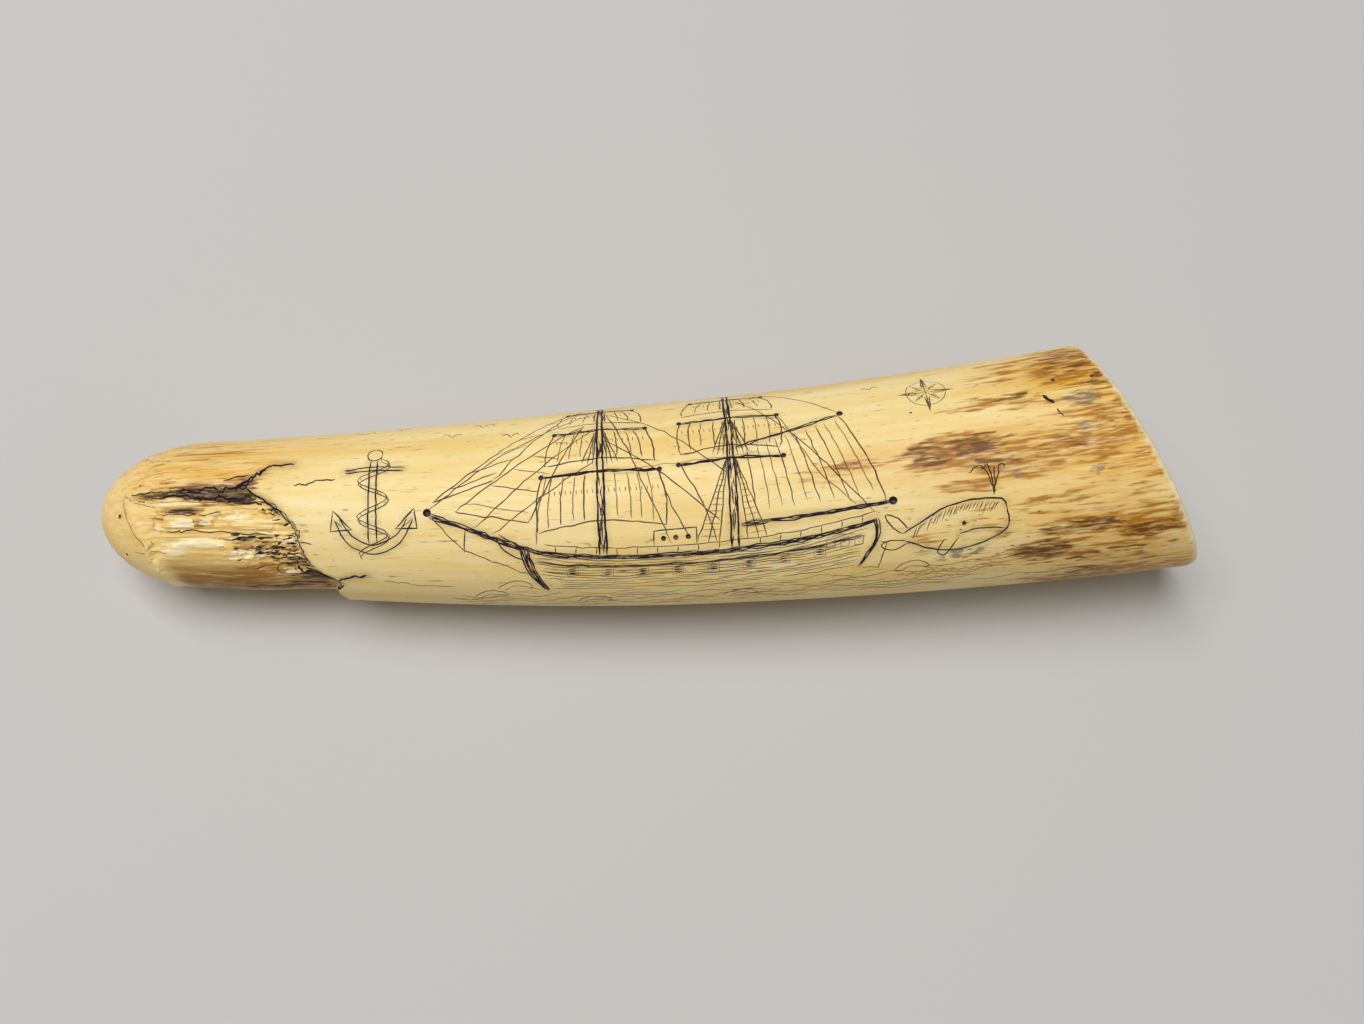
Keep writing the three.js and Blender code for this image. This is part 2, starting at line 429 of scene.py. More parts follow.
def heavy(points, times=3, gap=0.3, width=0.44, shake=0.12):
    """A dark line gone over a few times, a little lower each time."""
    for k in range(times):
        stroke([(u, v + k * gap + vary(-0.08, 0.08)) for u, v in points], width, HEAVY, shake)


def dot(u, v, radius, ink=HEAVY):
    """Plans a dot pricked with the point."""
    dots.append((u, v, radius, ink))


def between(start, end, share):
    """The place at a share of the way from start to end."""
    return tuple(a + (b - a) * share for a, b in zip(start, end))


def through(points, count=6):
    """A smooth curve through a few places."""
    ends = [points[0], *points, points[-1]]
    curve = []
    for before, start, end, after in zip(ends, ends[1:], ends[2:], ends[3:]):
        for k in range(count):
            t = k / count
            curve.append(tuple(
                0.5 * (2 * b + (c - a) * t + (2 * a - 5 * b + 4 * c - d) * t * t + (3 * b - a - 3 * c + d) * t ** 3)
                for a, b, c, d in zip(before, start, end, after)
            ))
    return curve + [points[-1]]


def along_line(line, share):
    """The place at a share of the way along a line, by u."""
    u = line[0][0] + (line[-1][0] - line[0][0]) * share
    return u, float(np.interp(u, [p[0] for p in line], [p[1] for p in line]))


def ring(u0, v0, radius, count=10):
    """Places round a small circle."""
    turns = [2 * math.pi * k / count for k in range(count + 1)]
    return [(u0 + radius * math.cos(turn), v0 + radius * math.sin(turn)) for turn in turns]


print("pen ready")

# %% [markdown]
# ## The hull
# The hull lies between two lines, the sheer along the deck and the line of the keel. Everything on it, its planks
# and its ports, is placed by shares between the two, so that it follows their curves.

# %% The hull
SHEER = [(104, 15), (112, 17.2), (126, 18.6), (142, 19.1), (158, 18.8), (172, 17.6), (185, 15.4)]
KEEL = [(109.5, 27), (124, 28.2), (146, 28.8), (166, 28.4), (181, 26.8)]
PLANKS = 13
PORTS = 8


def hull_place(share, down):
    """A place on the hull, by its share of the way from bow to stern and from deck to keel."""
    return between(along_line(SHEER, share), along_line(KEEL, share), down)


heavy(through(SHEER, 5), times=4, gap=0.26)
heavy([hull_place(0.03 + 0.94 * k / 30, 0.27) for k in range(31)], times=2, gap=0.3, width=0.36)
for k in range(PLANKS):
    down = 0.14 + 0.8 * k / (PLANKS - 1)
    start = vary(0.01, 0.06)
    while start < 0.93:
        end = min(0.985, start + vary(0.18, 0.5))
        wave = vary(0, 6)
        shares = np.linspace(start, end, max(3, int((end - start) * 40)))
        points = [hull_place(share, down + 0.016 * math.sin(18 * share + wave)) for share in shares]
        stroke(points, pick((0.26, 0.3, 0.34)), pick((THIN, THIN, DARK)), 0.1)
        start = end + vary(0.01, 0.07)
for k in range(PORTS):
    u0, v0 = hull_place(0.12 + 0.105 * k, 0.44)
    for shift in (-0.6, 0, 0.6):
        stroke([(u0 - 0.95, v0 + shift), (u0 + 0.95, v0 + shift)], 0.5, HEAVY, 0.04)
    fine([(u0 - 1.3, v0 - 1.2), (u0 + 1.3, v0 - 1.2), (u0 + 1.3, v0 + 1.2), (u0 - 1.3, v0 + 1.2), (u0 - 1.3, v0 - 1.2)])
for k in range(5):
    stroke(through([(103.8 + 0.5 * k, 15.2), (105.4 + 0.42 * k, 21), (109.2 + 0.2 * k, 27.2)], 4), 0.46, HEAVY)
for k in range(3):
    stroke(through([(185.2 - 0.4 * k, 15.4), (185.4 - 0.4 * k, 20), (181.2 - 0.2 * k, 26.9)], 4), 0.42, HEAVY)
stroke(through([(98.4, 12.4), (100.6, 16.2), (105, 18.8)], 4), 0.42, HEAVY)
stroke([(99.2, 12), (104.4, 15.2)], 0.4, DARK)
stroke([(184.8, 20.6), (187.2, 21.2), (185.6, 27.6), (182, 27.2)], 0.36, DARK)
for u0 in (173.6, 176.8, 180):
    fine([(u0, 19.2), (u0 + 1.9, 19), (u0 + 1.9, 21), (u0, 21.2), (u0, 19.2)], 0.3, DARK, 0.05)
for k in range(16):
    u0, v0 = along_line(SHEER, 0.1 + 0.86 * k / 15)
    stroke([(u0, v0), (u0 + 0.1, v0 - 1.7)], 0.3, DARK, 0.06)
stroke([(u, v - 1.8) for u, v in through(SHEER, 4)[3:]], 0.32, DARK)
stroke([(134.6, 17), (134.6, 13.6), (144.4, 13.4), (144.4, 17.2)], 0.34, DARK, 0.06)
for u0 in (136.8, 139.6, 142.4):
    dot(u0, 15.4, 0.62)
print("hull planned, strokes:", len(picture))

# %% [markdown]
# ## Masts, yards and rigging
# A mast is two wavering edges with short shading strokes between them. A shroud is a rope ladder that narrows
# upwards. Both repeat, so each is a function that is called with a few numbers.

# %% The masts and the rigging
FORE, MAIN = 123, 153
YARDS = [
    (FORE, -1.6, 13.6), (FORE, -13.6, 10.6), (FORE, -22.6, 7.6), (MAIN, -2.4, 12), (MAIN, -14.4, 11.4),
    (MAIN, -23.4, 8.4),
]


def mast(u0, foot, top):
    """Two wavering edges, with short shading strokes between them."""
    for side in (-0.85, 0.85):
        edge = [
            (u0 + side * (1 - 0.025 * k) + vary(-0.1, 0.1), foot + (top - foot) * k / 20)
            for k in range(21)
        ]
        stroke(edge, 0.5, HEAVY, 0.05)
    for _ in range(34):
        start = vary(foot, top + 4)
        u1 = u0 + vary(-0.65, 0.65)
        tip = (u1 + vary(-0.25, 0.25), start - vary(2, 5))
        stroke([(u1, start), tip], 0.36, pick((HEAVY, DARK)))


def shroud(u0, lean, foot, top):
    """A rope ladder from the rail up to the mast, narrowing to its head."""
    outer, inner, head = (u0 + lean, foot), (u0 + 0.42 * lean, foot + 0.4), (u0 + 0.1 * lean, top)
    for start in (outer, between(outer, inner, 0.5), inner):
        stroke([start, head], 0.32, DARK)
    rungs = int((foot - top) / 1.35)
    for k in range(1, rungs - 1):
        fine([between(outer, head, k / rungs), between(inner, head, k / rungs)], 0.28, THIN, 0.04)


for u0 in (FORE, MAIN):
    mast(u0, float(np.interp(u0, *zip(*SHEER))), -33)
    shroud(u0, 4.2, -3.4, -14)
    shroud(u0, -4.2, -3.4, -14)
shroud(MAIN, -8.6, 17, -2.6)
shroud(MAIN, 7.4, 16.9, -2.6)
for u0, v0, reach in YARDS:
    heavy([(u0 - reach, v0 + 0.9), (u0, v0), (u0 + reach, v0 + 0.7)], times=2, gap=0.34, width=0.46)
    dot(u0 - reach, v0 + 1, 0.62)
    dot(u0 + reach, v0 + 0.8, 0.62)
heavy([(105.4, 15.6), (96, 11.6), (83.4, 6.4)], times=4, gap=0.34)
dot(83, 6.3, 1)
heavy([(154.4, 13.4), (170, 12.8), (188.4, 11.6)], times=3)
dot(188.8, 11.7, 1)
heavy([(154.2, -5), (166, -8), (178.6, -11.6)], times=2)
dot(178.9, -11.8, 0.8)
stroke([(91.6, 10.4), (91.2, 16)], 0.36, DARK)
stroke([(84, 7.4), (91, 15.4), (106.6, 22.6)], 0.32, DARK)
ROPES = [
    [(83.6, 5.6), (101, -7.6), (121.6, -21)], [(94, 10.4), (108, -2), (122, -14)], [(98, 12), (111, 3), (121.8, -4)],
    [(124.4, -20), (138, -11), (152, 1.6)], [(124.2, -9.6), (138, 1), (150, 12.6)],
    [(138.6, 16.4), (131, -2), (124.4, -20)], [(154.6, -22), (170, -4), (184.6, 14)],
    [(154.8, -27), (168, -20), (178.4, -12.4)], [(110.6, -0.6), (108.6, 8), (107.8, 15)],
    [(136.2, -0.8), (139, 8), (143, 16)], [(164.4, -13.4), (172, 2), (180.4, 11.6)], [(141, -2), (146, 8), (149, 17)],
]
for rope in ROPES:
    stroke(through(rope), 0.32, pick((DARK, DARK, THIN)), 0.1)
print("rigging planned, strokes:", len(picture))

# %% [markdown]
# ## The sails
# A square sail hangs between two yards. Its sides swell outwards, its foot arches, and its seams share out the
# width. The fore-and-aft sails are triangles and four-sided shapes, with their seams between two of the sides.

# %% The sails
def square_sail(u0, head, half_head, foot, half_foot, seams):
    """A sail from its head to its foot, with seams and a row of short reef points."""
    belly = 0.16 * (foot - head)
    for side in (-1, 1):
        mid = (u0 + side * ((half_head + half_foot) / 2 + 0.9), (head + foot) / 2)
        stroke(through([(u0 + side * half_head, head), mid, (u0 + side * half_foot, foot)]), 0.36, DARK)
    stroke(through([(u0 - half_foot, foot), (u0, foot - belly), (u0 + half_foot, foot)]), 0.38, DARK)
    for k in range(1, seams):
        share = 2 * k / seams - 1 + vary(-0.03, 0.03)
        if abs(share) < 0.09:
            continue
        low = foot - belly * (1 - share * share) - vary(0.2, 0.8)
        mid = (u0 + share * ((half_head + half_foot) / 2 + 0.5), (head + low) / 2)
        points = [(u0 + share * half_head, head + vary(0.3, 0.9)), mid, (u0 + share * half_foot, low)]
        stroke(through(points, 5), pick((0.28, 0.32, 0.36)), pick((DARK, THIN)), 0.07)
    for k in range(2 * seams):
        u1 = u0 + half_head * (2 * (k + 0.5) / (2 * seams) - 1) * 1.04
        fine([(u1, head + 0.3 * (foot - head)), (u1 + 0.1, head + 0.3 * (foot - head) + 1.1)], 0.28, THIN, 0.04)


def seamed(first, second, count):
    """Seams from one side of a sail to another, both given by their two ends."""
    for k in range(count):
        share = (k + vary(0.35, 0.65)) / count
        start, end = between(*first, share), between(*second, share)
        seam = [between(start, end, 0.03), between(start, end, vary(0.85, 0.96))]
        stroke(seam, 0.3, pick((DARK, THIN)), 0.1)


square_sail(FORE, -1.2, 13.2, 12.4, 14.6, 11)
square_sail(FORE, -13.2, 10.2, -3.2, 12.6, 9)
square_sail(FORE, -22.2, 7.2, -15, 9.8, 7)
square_sail(MAIN, -14, 11, -4, 11.4, 9)
square_sail(MAIN, -23, 8, -15.8, 10.6, 7)
JIBS = [((119.4, -15.4), (89.4, 6.4), (106.4, 9.8)), ((118.6, -23.6), (84.4, 4), (98.6, -0.8))]
for head, tack, clew in JIBS:
    stroke(through([head, between(head, clew, 0.55), clew]), 0.36, DARK)
    stroke(through([tack, between(tack, clew, 0.5), clew]), 0.36, DARK)
    stroke([tack, head], 0.34, DARK)
    seamed((tack, head), (clew, head), 6)
stroke(through([(178.4, -11.2), (183.4, 0), (187.4, 11.4)]), 0.38, DARK)
seamed(((155.6, -4.6), (178.2, -11)), ((157, 13), (186.8, 11.4)), 10)
print("sails planned, strokes:", len(picture))

# %% [markdown]
# ## The sea
# The sea is rows of broken wavering lines, thinner and fainter than the ship, with a few curling crests. It has so
# many lines that a loop with random lengths draws them, and the crests share one shape.

# %% The sea
CREST = [(0, 1.4), (3, -0.6), (6.4, -0.4), (8.2, 1.2), (6.6, 1.6)]
HOLLOW = [(1.4, 2.2), (4.4, 0.6), (9.6, 2.2)]
for k in range(9):
    v0 = 28.9 + 0.85 * k
    u1 = 86 + vary(0, 10)
    while u1 < 208:
        length = vary(10, 30)
        swell, wave = vary(0.3, 0.8), vary(0, 6)
        row = [(u1 + s, v0 + swell * math.sin(s * 0.5 + wave)) for s in np.arange(0, length, 1.4)]
        fine(row, 0.28, pick((THIN, THIN, FAINT)), 0.1)
        u1 += length + vary(1, 9)
for u0, v0 in ((98, 24.6), (92, 27.4), (189, 27.6), (116, 31), (150, 31.6)):
    stroke(through([(u0 + a, v0 + b) for a, b in CREST], 4), 0.32, DARK)
    fine(through([(u0 + a, v0 + b) for a, b in HOLLOW], 4))
for v0, start, end in ((31, 190, 213), (33, 186, 206)):
    fine([(s, v0 + 0.45 * (-1) ** k) for k, s in enumerate(np.arange(start, end, 1.2))], 0.28, THIN, 0.05)
print("sea planned, strokes:", len(picture))

# %% [markdown]
# ## The whale and the small things
# Round the ship go a whale with its spout, an anchor wound with rope, a star and a few gulls, the usual fillers of
# such a picture. Each is drawn once, so each is a short list of places or a loop round a circle.

# %% The whale, the anchor, the star and the gulls
WHALE = [
    [(214.2, 16.4), (213.2, 14.4), (208, 13.6), (201, 14.4), (195.6, 17), (190.8, 19.6)],
    [(214.2, 16.4), (214.6, 20.6), (211, 23.2), (204, 25), (197.4, 24.2), (191.4, 21.4)],
    [(190.8, 19.6), (188.4, 17.8), (186.8, 14.8), (189.8, 16), (192, 18.6)],
    [(191.4, 21.4), (188.2, 21), (185.8, 22), (188.6, 23.4), (192, 22)], [(213.8, 21.2), (208, 20.4), (203.6, 21.2)],
    [(203.4, 22), (200.6, 26), (198.8, 25), (200.4, 22)],
]
for part in WHALE:
    stroke(through(part, 4), 0.42, HEAVY, 0.07)
dot(204.6, 18.8, 0.5)
for k in range(26):
    u0 = 194 + 0.74 * k + vary(-0.2, 0.2)
    v0 = float(np.interp(u0, (190.8, 195.6, 201, 208, 213.2), (19.6, 17, 14.4, 13.6, 14.4)))
    stroke([(u0, v0 + 0.5), (u0 - 1, v0 + vary(1.6, 3.6))], 0.32, pick((DARK, THIN)), 0.05)
for lean in (-2.6, -1.2, 0.4, 1.8):
    jet = [(211.4, 13), (211.6 + 0.4 * lean, 9.2), (211.4 + lean, 6.2), (211 + 1.9 * lean, 7.6)]
    stroke(through(jet, 4), 0.32, DARK)
ANCHOR = [
    [(69.4, -7.6), (69.2, 12.8)], [(71, -7.6), (71.2, 12.8)], [(63.2, -5), (70, -5.8), (77.4, -5.4)],
    [(63.4, -4.2), (70, -4.8), (77.2, -4.5)], [(61.4, 7.4), (64.4, 12.8), (70.2, 15.4), (76.4, 13), (79.6, 7.8)],
    [(62.6, 7), (65.4, 11), (70.2, 13.2), (75.4, 11.2), (78.4, 7.4)],
]
for part in ANCHOR:
    stroke(through(part, 5), 0.4, HEAVY, 0.06)
for u0, side in ((62, 1), (79, -1)):
    stroke([(u0 - side, 5), (u0 + 3.4 * side, 9.6), (u0 - 1.6 * side, 9.8), (u0 - side, 5)], 0.4, HEAVY, 0.05)
    fine([(u0 - 0.6 * side, 7.4), (u0 + 1.4 * side, 9.2)], 0.3, DARK)
stroke(ring(70.2, -9.4, 1.8), 0.38, HEAVY, 0.04)
for shift in (0, 0.95):
    rope = [(70.2 + 3.6 * math.sin(0.62 * k + 0.4) + 0.3 * shift, -8.2 + 0.86 * k + shift) for k in range(29)]
    stroke(rope, 0.32, DARK, 0.05)
for k in range(28):
    u0 = 70.2 + 3.6 * math.sin(0.62 * k + 0.4)
    fine([(u0, -8.2 + 0.86 * k), (u0 + 0.5, -7.3 + 0.86 * k)], 0.26, THIN, 0.02)
STAR, REACH, SHORTER, WAIST = (199.5, -15.6), 6.4, 0.62, 1.7


def round_star(turn, away):
    """The place at this turn and this distance from the middle of the star."""
    return STAR[0] + away * math.cos(turn), STAR[1] + away * math.sin(turn)


for k in range(8):
    turn = math.pi * k / 4
    tip = round_star(turn, REACH * (SHORTER if k % 2 else 1))
    left, right = (round_star(turn + side * math.pi / 8, WAIST) for side in (-1, 1))
    stroke([left, tip, right], 0.34, DARK, 0.05)
    fine([STAR, tip], 0.3, DARK, 0.04)
    for share in (0.3, 0.55):
        fine([between(left, tip, share), between(STAR, tip, share)], 0.28, DARK, 0.04)
fine(ring(*STAR, 4.6, count=22), 0.26, THIN, 0.05)
GULLS = [(88, -14.4, 2.6), (95, -18.6, 3), (102, -13, 2.2), (66, -18.6, 3), (75, -20.6, 2.4), (187, -19.4, 2.4)]
for u0, v0, span in GULLS:
    for side in (-1, 1):
        stroke(through([(u0, v0), (u0 + side * span / 2, v0 - 1.5), (u0 + side * span, v0 - 0.5)], 4), 0.34, DARK)
print("picture planned, strokes:", len(picture), "dots:", len(dots))

# %% [markdown]
# ## Cracks, nicks and scratches
# Dark cracks follow the broken line and run out from its corners. They are cut like the strokes, but wider and
# rougher, because the layer has lifted a little along them. Wear has left nicks and scratches in other places too.

# %% Cracks, nicks and scratches
CRACKS = [
    (BROKEN_LINE[3:12], 0.8, HEAVY, 0.3), ([(a + 0.6, b - 0.2) for a, b in BROKEN_LINE[4:11]], 0.5, DARK, 0.3),
    ([(37.6, -1), (40.6, -3.4), (42.4, -4.8), (44.8, -6.8), (46.6, -7.6), (51.4, -7.5)], 0.8, HEAVY, 0.22),
    ([(38.4, -0.6), (41.6, -3.6), (44.2, -5.8)], 0.6, HEAVY, 0.3),
    ([(34.6, -3.2), (37.6, -4.2), (40.6, -4.5)], 0.4, DARK, 0.14),
    ([(60, 23.6), (61.6, 22), (64, 21.2), (67.8, 20.9)], 0.7, HEAVY, 0.18),
    ([(53.6, 17.4), (56.6, 20.4), (60.8, 23.8)], 0.9, HEAVY, 0.3),
    ([(50.6, 19.6), (55, 22.2), (59.6, 24.4)], 0.7, HEAVY, 0.3),
    ([(61, 24), (59.4, 26.8), (59.2, 30)], 0.7, HEAVY, 0.2),
    ([(59.2, 30), (60.2, 33), (59.3, 36.5), (60.4, 41), (59.6, 46)], 0.7, DARK, 0.3),
    ([(58.4, 33), (56, 34.4), (52, 34.2)], 0.5, DARK, 0.25),
    ([(51.6, -1.6), (54.5, -1.8), (57.3, -2.7), (61.4, -2.7)], 0.44, DARK, 0.14),
    ([(71.7, 22.6), (76, 23.4), (80.9, 24.5), (88, 25)], 0.3, THIN, 0.14),
    ([(52.8, 12.4), (54.4, 12.2), (56.2, 12.8)], 0.4, DARK, 0.1),
    ([(10, -0.2), (10.6, 4), (12.6, 8.6), (15.4, 12.6)], 0.34, THIN, 0.1),
    ([(10.4, 0), (14, 2.2), (18.6, 3.4)], 0.3, THIN, 0.1),
    ([(12, 0.1), (17, -0.5), (22, -0.6), (26, -1)], 0.5, DARK, 0.18),
    ([(24, -0.7), (30, -1.6), (35, -1.3), (40.6, -1.8)], 0.7, HEAVY, 0.3),
    ([(17, 0.8), (24, 0.3), (30, 0.9), (35, 0.5)], 0.6, HEAVY, 0.34),
    ([(28, 1.9), (34, 1.5), (40.6, 2.1), (44, 2.6)], 0.7, HEAVY, 0.34),
    ([(33, 0.6), (37, 1), (41, 0.4)], 0.9, HEAVY, 0.3), ([(13, 1.4), (18, 2), (23, 1.9)], 0.36, DARK, 0.2),
    ([(20, 5.4), (24, 5.2), (29, 5.4), (34, 4.6)], 0.4, DARK, 0.16),
    ([(20.4, 9.6), (24, 9.6), (27.3, 9.4), (36.5, 10.1), (46, 10.9)], 0.42, DARK, 0.16),
    ([(17.7, 5.6), (18, 7), (17.5, 8.6)], 0.3, FAINT, 0.2), ([(17.2, 10.6), (17, 12.4)], 0.3, FAINT, 0.2),
    ([(36, 11.8), (40, 11.4), (44, 11.9)], 0.5, HEAVY, 0.24),
    ([(41, 15.9), (45, 15.5), (49, 16.1), (53.4, 16.3)], 0.5, HEAVY, 0.24),
    ([(45, 17.3), (50, 17), (54.4, 17.6)], 0.5, HEAVY, 0.24), ([(46, 14.2), (49, 14.5)], 0.5, HEAVY, 0.2),
    ([(46.4, 19.4), (46, 21.4), (50, 22), (54, 21.8)], 0.44, DARK, 0.2),
    ([(46.6, 19.3), (51, 18.9), (54, 19.4)], 0.44, DARK, 0.2), ([(50.2, 19.4), (50.4, 21.6)], 0.34, DARK, 0.1),
    ([(40.6, 19.6), (45, 19.4)], 0.34, DARK, 0.1), ([(44, 4.4), (46.4, 4.2), (48, 5.2)], 0.5, HEAVY, 0.2),
    ([(225.2, -9.4), (227.4, -6.6)], 0.9, HEAVY, 0.08), ([(227.6, -5.2), (228.8, -2.8)], 0.4, DARK, 0.08),
    ([(12.2, 13.6), (18, 14.4), (21, 14.2)], 0.28, THIN, 0.1),
    ([(127.6, -1.2), (143, -2.2), (159.4, -3)], 0.26, FAINT, 0.16), ([(60, 46), (98, 49), (131, 48)], 0.3, THIN, 0.2),
    ([(140, -42), (176, -45), (222, -50)], 0.36, DARK, 0.2), ([(88, -36), (120, -39), (150, -41)], 0.26, THIN, 0.2),
    ([(196, -34), (216, -37), (234, -38)], 0.34, DARK, 0.2),
]
CRACKS_FROM = len(picture)


def tick(u, v, length, lift, widths, inks, shake):
    """A short scratch from a place, with its length, lift, width and ink drawn from these ranges."""
    end = (u + vary(*length), v + vary(*lift))
    stroke([(u, v), end], vary(*widths), pick(inks), shake)


for points, width, ink, shake in CRACKS:
    stroke(through(points, 4), width, ink, shake)
for u0, v0 in BROKEN_LINE[4:13]:
    for _ in range(2):
        a, b = u0 - vary(0.2, 1.2), v0 + vary(-0.6, 1.6)
        tick(a, b, (-0.8, -2.4), (-0.3, 0.3), (0.5, 0.8), (HEAVY, DARK), 0.15)
for _ in range(26):
    a, b = vary(12, 44), vary(-17, -3)
    fine([(a, b), (a + vary(1.5, 4), b - vary(0, 1))], 0.24, FAINT, 0.05)
for _ in range(34):
    a, b = vary(36, 52), vary(10.5, 17.5)
    tick(a, b, (0.6, 1.8), (-0.3, 0.3), (0.5, 0.9), (HEAVY, DARK, DARK), 0.1)
for _ in range(40):
    a, b = vary(192, 222), vary(15, 31)
    tick(a, b, (0.4, 1.6), (-0.1, 0.1), (0.26, 0.5), (THIN, FAINT), 0.05)
for place in ((228.6, -13.6, 0.5), (237.4, -13, 0.45), (9, 4.6, 0.55), (9.4, 13.6, 0.4), (195, -9.4, 0.3)):
    dot(*place, DARK)
print("with the cracks, strokes:", len(picture))

# %% [markdown]
# ## Cutting the strokes
# A real groove catches the light and keeps its sharp edges, which a painted line doesn't. So each stroke becomes a
# thin wire that can be cut out of the tusk: a curve laid on the skin, swelling where the hand pressed and pointed
# at its ends. A Boolean needs closed meshes, so the wires are converted and their end caps merged.

# %% Lay the wires
STEP_MM = 1.7
NEAREST_MM = 0.5
PRESSURE, POINTED = (0.8, 1.15), 0.35
CUTTERS = bpy.data.collections.new("stroke_wires")
bpy.context.scene.collection.children.link(CUTTERS)
INKS = [bpy.data.materials.new(f"ink_{name}") for name in ("heavy", "dark", "thin", "faint")]


def evenly(points):
    """The stroke's places, with long gaps filled in and crowded ones thinned."""
    kept = [points[0]]
    for place in points[1:]:
        start, gap = kept[-1], math.dist(kept[-1], place)
        if gap < NEAREST_MM:
            continue
        pieces = max(1, round(gap / STEP_MM))
        kept += [between(start, place, (k + 1) / pieces) for k in range(pieces)]
    return kept if len(kept) > 2 else [kept[0], between(points[0], points[-1], 0.5), points[-1]]


def wire(tree, points, width, ink, shake):
    """A curve along the stroke, on the skin."""
    hits = [skin_spot(tree, a + hand.gauss(0, shake), b + hand.gauss(0, shake)) for a, b in evenly(points)]
    hits = [hit for hit in hits if hit]
    if len(hits) < 3:
        return
    curve = bpy.data.curves.new("wire", "CURVE")
    curve.dimensions = "3D"
    curve.bevel_depth = width / 2 * MM
    curve.bevel_resolution = 0
    curve.use_fill_caps = True
    spline = curve.splines.new("POLY")
    spline.points.add(len(hits) - 1)
    for k, hit in enumerate(hits):
        spline.points[k].co = (*hit, 1)
        spline.points[k].radius = vary(*PRESSURE) if 0 < k < len(hits) - 1 else POINTED
    curve.materials.append(INKS[ink])
    CUTTERS.objects.link(bpy.data.objects.new("wire", curve))


skin_tree = BVHTree.FromObject(tusk, bpy.context.evaluated_depsgraph_get())
for points, width, ink, shake in picture:
    wire(skin_tree, points, width, ink, shake)
for u0, v0, radius, ink in dots:
    hit = skin_spot(skin_tree, u0, v0)
    bpy.ops.mesh.primitive_uv_sphere_add(segments=10, ring_count=6, radius=radius * MM, location=hit)
    ball = bpy.context.object
    ball.data.materials.append(INKS[ink])
    CUTTERS.objects.link(ball)
    bpy.context.scene.collection.objects.unlink(ball)
bpy.ops.object.select_all(action="DESELECT")
for piece in CUTTERS.objects:
    piece.select_set(True)
bpy.context.view_layer.objects.active = CUTTERS.objects[0]
bpy.ops.object.convert(target="MESH")
bpy.ops.object.transform_apply(location=True, rotation=True, scale=True)
weld()

# %% [markdown]
# ## Engraving
# One Boolean modifier takes the whole collection away, which is far quicker than a modifier for each wire. The tusk
# first gets a material that stands for uncut skin. The Boolean gives each new face the material of the wire that
# made it, which tells later where the ink is.

# %% Cut the strokes
for ink in INKS:
    tusk.data.materials.append(ink)
tusk.data.materials.append(bpy.data.materials.new("uncut"))
UNCUT = len(INKS)
tusk.data.polygons.foreach_set("material_index", [UNCUT] * len(tusk.data.polygons))
apply_modifier(
    tusk, "BOOLEAN", operation="DIFFERENCE", solver="MANIFOLD", operand_type="COLLECTION",
    collection=CUTTERS, material_mode="TRANSFER",
)
print("engraved faces:", len(tusk.data.polygons), "triangles:", sum(len(p.vertices) - 2 for p in tusk.data.polygons))
